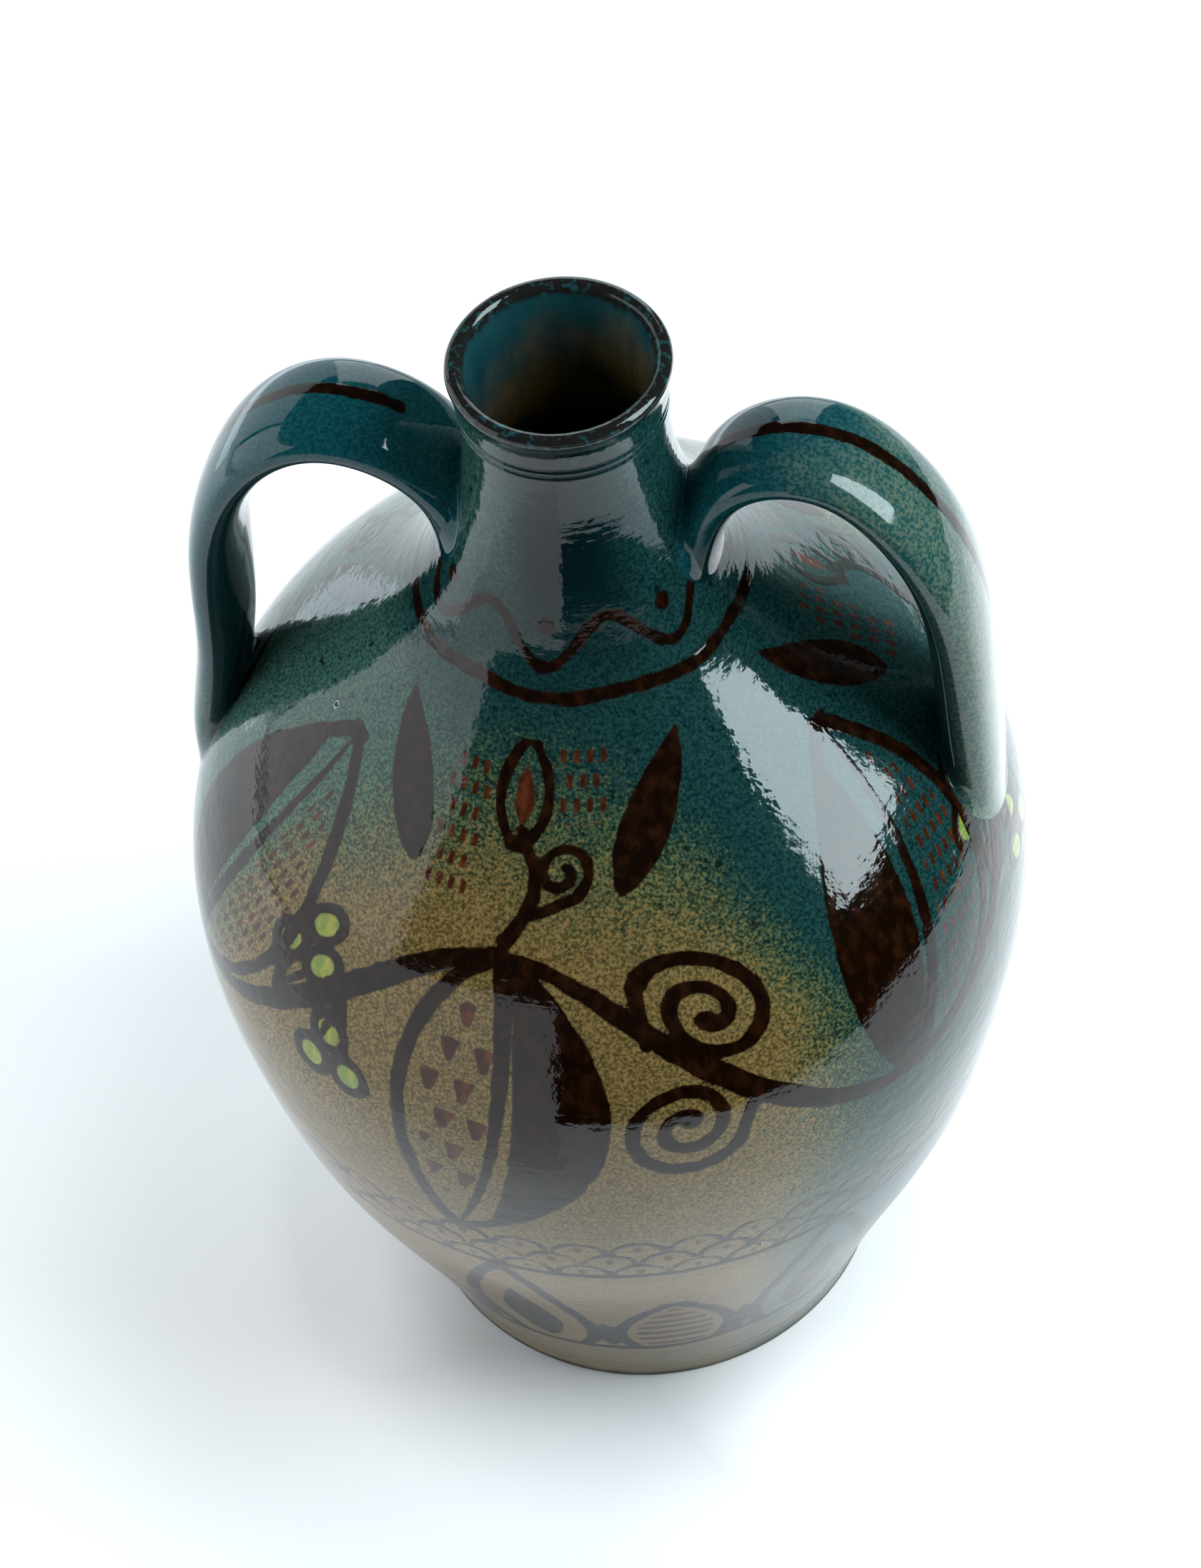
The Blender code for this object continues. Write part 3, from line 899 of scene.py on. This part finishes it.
def neck_glaze():
    """Teal glaze in and out. Inside it runs down into a brown-ochre pool, then into painted shade.
    The lip is dark in a ragged band, with teal where it is worn and a few brown flecks."""
    mix = Mixing("neck glaze")
    pool, bore_shade = (0.170, 0.095, 0.025), (0.012, 0.008, 0.003)
    x, y, z = mix.across
    colour, line = painted(mix, sprayed_colour(mix))
    bore = mix.times(mix.step(mix.length(x, y), 0.0212, 0.0216, 1, 0), mix.step(z, 0.270, 0.275))
    drift = mix.times(mix.grain(14.0, 3.0), 0.030)
    depth = mix.add(z, drift, mix.times(y, -0.35), mix.times(x, -0.30))
    inner = mix.blend(mix.step(depth, 0.316, 0.345), pool, (0.008, 0.050, 0.058))
    # Painted shade: deep in the bore, and higher up on the right and at the back, the inside turns
    # near black.
    inner = mix.blend(mix.step(depth, 0.282, 0.308, 1, 0), inner, bore_shade)
    streak = mix.step(mix.grain(5.0, 3.0, stretch=(1, 1, 0.25)), 0.35, 0.7, 0.0, 0.5)
    inner = mix.blend(streak, inner, (0.004, 0.030, 0.035))
    colour = mix.blend(bore, colour, inner)
    worn = mix.step(mix.grain(1.8, 3.0), 0.52, 0.66)
    dark = mix.blend(worn, (0.010, 0.010, 0.009), (0.010, 0.055, 0.060))
    dark = mix.blend(mix.step(mix.grain(0.9), 0.68, 0.76), dark, (0.050, 0.030, 0.016))
    ragged = mix.add(z, mix.times(mix.grain(5.0, 4.0), 0.0030))
    colour = mix.blend(mix.step(ragged, 0.3378, 0.3398), colour, dark)
    pit, rim = pinholes(mix, 17.0, 0.35)
    # Painted glint: the pinholes' rims are made pale.
    colour = mix.blend(rim, colour, (0.25, 0.30, 0.28))
    glaze_relief(mix, pit, rim, line)
    return mix.finish(colour, mix.step(mix.grain(9.0, 3.0), 0.3, 0.7, 0.040, 0.080))


brushed(neck, "slip_paint", 0, neck_painting(neck_heights, turn_degrees))
neck.data.materials.append(neck_glaze())
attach(neck, "root")
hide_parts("neck")

# Handles
# Two straps of terracotta, pulled by hand to a rounded-oblong section, bent over and luted to the
# neck and the shoulder, where a thumb spreads their ends. Each has a brown stripe along its top.
strap_width, strap_thickness, strap_roundness = 0.0294, 0.0120, 2.2
handle_fillet, bury_depth, cap_depth = 0.0030, 0.875 * strap_thickness, 0.0012
handle_turn = math.radians(2.3)
root_height = belly_height + 0.7132 * upper_rise
crown_height = belly_height + 0.9737 * upper_rise
strap_rows, strap_sides, strap_table = 260, 96, 1400
end_crowding, stripe_half = 0.55, 0.9


def strap_route(tail_share, shares):
    """The strap's middle line: places out from the neck and up from the tail, as shares."""
    tail_height = belly_height + tail_share * upper_rise
    root, tail = outside(np.array([root_height, tail_height])) - bury_depth
    out, up = np.array(shares).T
    route = [root + out * (tail - root), tail_height + up * (crown_height - tail_height)]
    return np.concatenate([[(root, root_height)], np.stack(route, axis=-1)])


def wall_gap(points):
    """How far points are outside the thrown body, square to it, and the body's normal there."""
    x, y, z = np.moveaxis(points, -1, 0)
    radius = np.hypot(x, y)
    level = np.clip(z, outline_heights[0], outline_heights[-1])
    radial, vertical = facing(level)
    away = np.stack([radial * x / radius, radial * y / radius, vertical], axis=-1)
    return (radius - outside(level)) * radial, away


def strap_surface(route, widths, thicknesses):
    """Sections |x/w|^p + |y/t|^p = 1 carried along the route. Near the wall a point moves out
    along it by R - sqrt(R^2 - (R - d)^2), with R the fillet and d the distance to the wall."""
    knots = np.linspace(0, 1, len(route))
    spread = np.linspace(0, 1, strap_table)
    middle = np.stack([smooth_curve(knots, route[:, axis], spread) for axis in (0, 1)], axis=-1)
    heading = np.gradient(middle, axis=0)
    heading /= np.linalg.norm(heading, axis=1, keepdims=True)
    quarters = np.linspace(0, 1, len(widths))
    width = strap_width / 2 * smooth_curve(quarters, np.array(widths), spread)
    thickness = strap_thickness / 2 * smooth_curve(quarters, np.array(thicknesses), spread)
    turn = math.tau * np.arange(strap_sides) / strap_sides
    power = 2 / strap_roundness
    across = np.sign(np.cos(turn)) * np.abs(np.cos(turn)) ** power
    through = np.sign(np.sin(turn)) * np.abs(np.sin(turn)) ** power
    reach = middle[:, :1] + heading[:, 1:] * thickness[:, None] * through
    height = middle[:, 1:] - heading[:, :1] * thickness[:, None] * through
    side = width[:, None] * across
    points = np.stack([reach, side, height], axis=-1)
    gap, away = wall_gap(points)
    inner = handle_fillet - np.clip(gap, 0, handle_fillet)
    push = handle_fillet - np.sqrt(handle_fillet**2 - inner**2)
    lean = np.stack([across / width[:, None], through / thickness[:, None]], axis=-1)
    lean /= np.linalg.norm(lean, axis=-1, keepdims=True)
    normal = np.stack(
        [heading[:, 1:] * lean[..., 1], lean[..., 0], -heading[:, :1] * lean[..., 1]], axis=-1
    )
    slide = normal - (normal * away).sum(axis=-1, keepdims=True) * away
    return points + push[..., None] * slide, gap, side, through, middle


def pulled_strap(name, azimuth, route, widths, thicknesses, stripe):
    """The strap from wall to wall: each side line is cut where its gap to the wall is nought.
    Its rows are spread between, closer together at the ends by a sine. Both ends close in a cap
    just under the wall. The stripe is a rounded line on the outer side, from a share to a share
    of the length, and an offset in mm from the middle."""
    points, gap, side, through, middle = strap_surface(route, widths, thicknesses)
    outside_wall = gap > 0
    first = np.argmax(outside_wall, axis=0)
    last = strap_table - 1 - np.argmax(outside_wall[::-1], axis=0)
    lines = np.arange(strap_sides)
    before, after = gap[first - 1, lines], gap[first, lines]
    start = first - after / (after - before)
    before, after = gap[last, lines], gap[np.minimum(last + 1, strap_table - 1), lines]
    end = last + before / (before - after)
    share = np.linspace(0, 1, strap_rows)
    share = share - end_crowding * np.sin(math.tau * share) / math.tau
    where = start + share[:, None] * (end - start)
    cell = np.clip(where.astype(int), 0, strap_table - 2)
    part = (where - cell)[..., None]
    grid = points[cell, lines] * (1 - part) + points[cell + 1, lines] * part
    part = part[..., 0]
    sideways = (side[cell, lines] * (1 - part) + side[cell + 1, lines] * part) / mm

    length = np.concatenate([[0], np.cumsum(np.linalg.norm(np.diff(middle, axis=0), axis=1))])
    along = np.interp(where, np.arange(strap_table), length / length[-1])
    stripe_start, stripe_end, offset = stripe
    past = np.maximum(stripe_start - along, along - stripe_end) * length[-1] / mm
    beside = np.maximum(np.abs(sideways - offset) - stripe_half, 0)
    line = np.hypot(beside, np.maximum(past, 0)) - stripe_half
    line = np.where(through < 0, line, unpainted)

    downhill = np.gradient(grid, axis=0)
    around = np.roll(grid, -1, axis=1) - np.roll(grid, 1, axis=1)
    normals = np.cross(downhill, around)
    normals /= np.linalg.norm(normals, axis=-1, keepdims=True)
    _, away = wall_gap(grid)
    for row in (0, -1):
        normals[row] = away[row]
    lower, upper = grid[:1] - cap_depth * away[:1], grid[-1:] - cap_depth * away[-1:]
    grid = np.concatenate([lower, grid, upper])
    normals = np.concatenate([0 * lower, normals, 0 * upper])
    line = np.concatenate([line[:1], line, line[-1:]])

    cosine, sine = math.cos(azimuth), math.sin(azimuth)
    spin = np.array([[cosine, sine, 0], [-sine, cosine, 0], [0, 0, 1]])
    cap_middles = [grid[0].mean(axis=0), grid[-1].mean(axis=0)]
    corners = np.concatenate([grid.reshape(-1, 3), cap_middles]) @ spin
    normals = np.concatenate([normals.reshape(-1, 3), np.zeros((2, 3))]) @ spin
    ring = np.arange(len(grid) - 1)[:, None] * strap_sides
    beyond = ring + strap_sides
    onward = (lines + 1) % strap_sides
    faces = np.stack([ring + lines, beyond + lines, beyond + onward, ring + onward], axis=-1)
    faces = faces.reshape(-1, 4).tolist()
    top, cap = (len(grid) - 1) * strap_sides, len(grid) * strap_sides
    faces += np.stack([cap + 0 * lines, lines, onward], axis=-1).tolist()
    faces += np.stack([top + onward, top + lines, cap + 1 + 0 * lines], axis=-1).tolist()
    strap = fired(name, corners, faces, normals)
    paint = np.full((len(corners), 3), unpainted)
    paint[: line.size, 0] = np.clip(line, -unpainted, unpainted).ravel()
    keep_layer(strap, "slip_paint", paint)
    inner = np.zeros(len(corners))
    inner[: line.size] = (through + 0 * line).ravel()
    keep_layer(strap, "inner_side", inner)
    return strap


def handle_glaze():
    """Deep teal glaze over one brown stripe, turning to speckled moss low down and out to the
    right. The strap's inner side, which faces the vase, is painted near black as shade."""
    mix = Mixing("handle glaze")
    x, _, z = mix.across
    grain, cloud = mix.grain(0.9, 3.0), mix.grain(16.0, 3.0)
    colour = mix.blend(mix.step(grain, 0.36, 0.62), (0.006, 0.064, 0.076), (0.002, 0.038, 0.046))
    moss = mix.blend(mix.step(grain, 0.38, 0.62), (0.100, 0.130, 0.085), (0.012, 0.060, 0.055))
    low = mix.add(z, mix.swing(cloud, 0.10))
    colour = mix.blend(mix.step(low, 0.185, 0.235, 0.75, 0.0), colour, moss)
    outward = mix.add(x, mix.swing(cloud, 0.08))
    colour = mix.blend(mix.step(outward, 0.040, 0.085, 0.0, 0.8), colour, moss)
    inner = mix.node("ShaderNodeAttribute", attribute_name="inner_side").outputs["Fac"]
    # Painted shade on the strap's inner side, which faces the vase.
    colour = mix.blend(mix.step(inner, -0.3, 0.5, 0.0, 0.9), colour, (0.002, 0.012, 0.014))
    colour, line = painted(mix, colour)
    pit, rim = pinholes(mix, 19.0, 0.35)
    # Painted glint: the pinholes' rims are made pale.
    colour = mix.blend(rim, colour, (0.25, 0.30, 0.28))
    ripple, peel = mix.grain(11.0), mix.grain(1.6)
    mix.relief((0.12, ripple), (0.010, peel), (-0.4, pit), (0.1, rim), (0.03, line))
    return mix.finish(colour, mix.step(cloud, 0.3, 0.7, 0.040, 0.075))


strap_glaze = handle_glaze()
right_route = strap_route(
    0.0987,
    (
        (0.146, 0.944), (0.459, 1.0), (0.726, 0.880), (0.889, 0.680),
        (0.947, 0.414), (0.979, 0.188), (1.0, 0.0),
    ),
)
left_route = strap_route(
    0.0526,
    (
        (0.067, 0.913), (0.395, 1.0), (0.723, 0.902), (0.900, 0.687),
        (0.954, 0.429), (1.039, 0.193), (1.0, 0.0),
    ),
)
right_handle = pulled_strap(
    "handle_right_glazed", handle_turn, right_route,
    widths=(0.80, 1.0, 1.12, 0.92), thicknesses=(0.95, 0.98, 1.26, 0.95), stripe=(0.17, 0.66, 1.0),
)
left_handle = pulled_strap(
    "handle_left_glazed", math.pi - handle_turn, left_route,
    widths=(0.92, 1.0, 1.05, 0.95), thicknesses=(1.0, 1.01, 0.97, 1.0), stripe=(0.20, 0.45, -1.0),
)
for strap, node in ((right_handle, "handle_right"), (left_handle, "handle_left")):
    strap.data.materials.append(strap_glaze)
    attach(strap, "root")
    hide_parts(node)

# Table, lamps and camera
# A pale table, and a pale wall far round it that only the camera sees. Five soft lamps light the
# vase. A tall window, white boards at the left and behind, a white card near by and the dark
# beyond the table's right side show in its glaze.
scene = bpy.context.scene
table_half, wall_distance, wall_height = 4.0, 3.9, 8.0
window_distance, back_distance, back_split = 3.0, 0.85, 0.13
lamp_aim, shoulder_level = 0.2, 0.24


def table_top():
    """A matt white table with a painted shadow right beside the foot. The camera and reflections
    see it lifted towards white, by steps in how far it is from the vase, and to the left and
    right of it, and lifted once more in the distance. The lift is least by the foot, which
    paints the shadow there, and more at the left, which paints light into the vase's shadow. In
    reflections the part beside the foot is painted grey as shadow, and a painted pool of window
    light lies at the right."""
    mix = Mixing("table")
    mix.surface("Specular IOR Level", 0.0)
    mix.surface("Roughness", 1.0)
    rays = mix.node("ShaderNodeLightPath").outputs
    seen = mix.most(rays["Is Camera Ray"], rays["Is Glossy Ray"], rays["Is Transmission Ray"])
    x, y, _ = mix.across
    reach = mix.length(x, y)
    # Painted shadow and light: the lift is least beside the foot and greater to the left and right.
    near = mix.most(
        mix.step(reach, 0.066, 0.115, 0.0, 0.31),
        mix.step(x, -0.030, -0.075, 0.0, 0.25),
        mix.step(x, 0.010, 0.055, 0.0, 0.33),
    )
    beyond = mix.most(mix.step(reach, 0.13, 0.20, 0.0, 0.13), mix.step(x, 0.0, 0.06, 0.0, 0.15))
    lift = mix.most(mix.add(near, beyond), mix.step(reach, 0.4, 1.2, 0.0, 0.48))
    # Painted contact shadow: the table's colour and lift are darkened right beside the foot.
    shade = mix.step(reach, 0.064, 0.086, 0.86, 1.0)
    # Painted shadow for reflections: the glaze sees the table beside the foot grey.
    reflected_foot_shadow = mix.times(rays["Is Glossy Ray"], mix.step(reach, 0.075, 0.110, 1, 0))
    white = mix.blend(shade, (0.0, 0.0, 0.0), (0.535, 0.552, 0.566))
    mix.surface("Base Color", mix.blend(reflected_foot_shadow, white, (0.27, 0.28, 0.287)))
    away = mix.length(mix.less(x, 0.30), mix.less(y, 0.22))
    # Painted pool of window light at the table's right, seen only in reflections.
    pool = mix.times(mix.step(away, 0.06, 0.34, 1.2, 0.0), rays["Is Glossy Ray"])
    mix.surface("Emission Strength", mix.add(mix.times(seen, mix.times(lift, shade)), pool))
    mix.surface("Emission Color", (0.965, 1.0, 1.03, 1))
    return mix.material


table_mesh = bpy.data.meshes.new("table")
table_corners = table_half * np.array([(-1, -1, 0), (1, -1, 0), (1, 1, 0), (-1, 1, 0)])
table_mesh.from_pydata(table_corners.tolist(), [], [(0, 1, 2, 3)])
table = placed("table", table_mesh)
table.data.materials.append(table_top())


def lamp(name, azimuth, elevation, distance, size, radiance, tint):
    """A soft lamp that no reflection shows: a lit rectangle at a distance from the vase's middle
    in a direction in degrees, facing it. Its power is pi times its area times its radiance."""
    data = bpy.data.lights.new(name, "AREA")
    data.shape = "RECTANGLE"
    data.size, data.size_y = size
    data.energy = math.pi * size[0] * size[1] * radiance
    data.color = tint
    turn, rise = math.radians(azimuth), math.radians(elevation)
    place = np.array(
        [
            distance * math.cos(rise) * math.cos(turn),
            distance * math.cos(rise) * math.sin(turn),
            lamp_aim + distance * math.sin(rise),
        ]
    )
    back = place - np.array([0, 0, lamp_aim])
    back /= np.linalg.norm(back)
    side = np.cross((0, 0, 1), back)
    side /= np.linalg.norm(side)
    frame_of_lamp = np.eye(4)
    frame_of_lamp[:3] = np.stack([side, np.cross(back, side), back, place], axis=1)
    item = placed(name, data)
    item.matrix_world = Matrix(frame_of_lamp.tolist())
    item.visible_camera = item.visible_glossy = False


def board(name, line, low, high, radiance, tint):
    """An upright board along a line on the table, from low to high, that only the glaze's
    reflections show. Gives the board and its mixing."""
    line = np.array(line, float)
    count = len(line)
    edges = [np.column_stack([line, level + np.zeros(count)]) for level in (low, high)]
    faces = [(place, place + 1, place + 1 + count, place + count) for place in range(count - 1)]
    mesh = bpy.data.meshes.new(name)
    mesh.from_pydata(np.concatenate(edges).tolist(), [], faces)
    item = placed(name, mesh)
    mix = Mixing(name)
    mix.surface("Base Color", (0, 0, 0, 1))
    mix.surface("Specular IOR Level", 0.0)
    mix.surface("Emission Color", (*tint, 1))
    mix.surface("Emission Strength", radiance)
    mesh.materials.append(mix.material)
    item.visible_camera = item.visible_diffuse = item.visible_shadow = False
    return item, mix


def round_about(start, end, distance, count=7):
    """Places on the table at a distance, from one azimuth to another."""
    turn = np.radians(np.linspace(start, end, count))
    return distance * np.stack([np.cos(turn), np.sin(turn)], axis=-1)


def rise_at(elevation, distance):
    """The height that is seen from the vase's shoulder at an elevation: the shoulder's, and its
    tangent times the distance."""
    return shoulder_level + distance * math.tan(math.radians(elevation))


lamp("key", 1, 33, 1.6, (0.92, 1.63), 8.6, (0.86, 0.96, 1.0))
lamp("left_fill", -168.5, 20, 1.5, (1.72, 1.35), 3.9, (0.93, 0.97, 1.0))
lamp("back_fill", 127, 17, 2.0, (2.55, 1.6), 1.5, (0.95, 0.98, 1.0))
lamp("front_fill", -80, 20, 1.5, (1.2, 0.8), 2.0, (0.95, 0.98, 1.0))
lamp("far_right_fill", 62, 28, 1.8, (1.3, 1.0), 4.5, (0.80, 0.98, 1.0))

for name, azimuths, distance, low, high, radiance, tint in (
    ("window", (-15.0, 15.5), window_distance, rise_at(11, window_distance),
     rise_at(58, window_distance), 10.0, (0.80, 0.95, 1.0)),
    ("left_board", (-137, -200), window_distance, 0.0,
     rise_at(32, window_distance), 1.35, (0.95, 0.98, 1.0)),
    ("back_low", (100, 158), back_distance, 0.0, back_split, 2.4, (0.86, 1.0, 1.08)),
    ("back_high", (112, 158), back_distance, back_split,
     rise_at(33, back_distance), 1.0, (0.90, 0.97, 1.0)),
    ("back_right", (80, 112), back_distance, rise_at(2, back_distance),
     rise_at(42, back_distance), 2.1, (0.90, 0.97, 1.0)),
):
    board(name, round_about(*azimuths, distance), low, high, radiance, tint)
board("front_card", [(-0.935, -0.26), (-0.005, -0.26)], 0.0, 0.27, 1.02, (0.95, 0.98, 1.0))

edge_line = np.array(
    [(-0.03, -0.52), (0.0, -0.5), (0.2, -0.42), (0.4, -0.29), (0.65, -0.2),
     (0.8, 0.1), (0.85, 0.5), (0.75, 0.9), (0.45, 1.15), (0.1, 1.25)]
)
edge_top = 0.19 + 0.09 * np.hypot(edge_line[:, 0], edge_line[:, 1])
_, beyond = board("dark_beyond", edge_line, 0.001, edge_top, 0.0, (0.7, 1.0, 1.0))
far_line = round_about(0, 360, wall_distance, 73)
far_wall, _ = board("backdrop", far_line, 0.0, wall_height, 0.515, (0.96, 1.0, 1.03))
far_wall.visible_camera, far_wall.visible_glossy = True, False
x, y, _ = beyond.across
# A dim glow, tinted teal, on part of the dark board: it shows as a reflection in the glaze of the
# shoulder behind the right handle.
dim = beyond.times(beyond.step(x, 0.82, 0.60, 0.0, 0.55), beyond.step(y, 0.30, 0.40))
beyond.surface("Emission Strength", dim)

world = bpy.data.worlds.new("room")
scene.world = world
world.use_nodes = True
world.node_tree.nodes["Background"].inputs["Color"].default_value = (0.95, 0.98, 1.0, 1)
world.node_tree.nodes["Background"].inputs["Strength"].default_value = 0.02

camera_data = bpy.data.cameras.new("camera")
camera_data.sensor_width = 36.0
camera_data.lens = 90.2873
camera_data.clip_start = 0.05
camera_data.clip_end = 20.0
camera = placed("camera", camera_data)
camera.matrix_world = Matrix(
    (
        (0.9827842490, -0.0984432998, 0.1563458875, 0.1493838737),
        (0.1719109860, 0.7972713331, -0.5786233959, -0.5575082065),
        (-0.0676884977, 0.5955395353, 0.8004691931, 0.9576269279),
        (0, 0, 0, 1),
    )
)
scene.camera = camera
scene.view_settings.view_transform = "Standard"
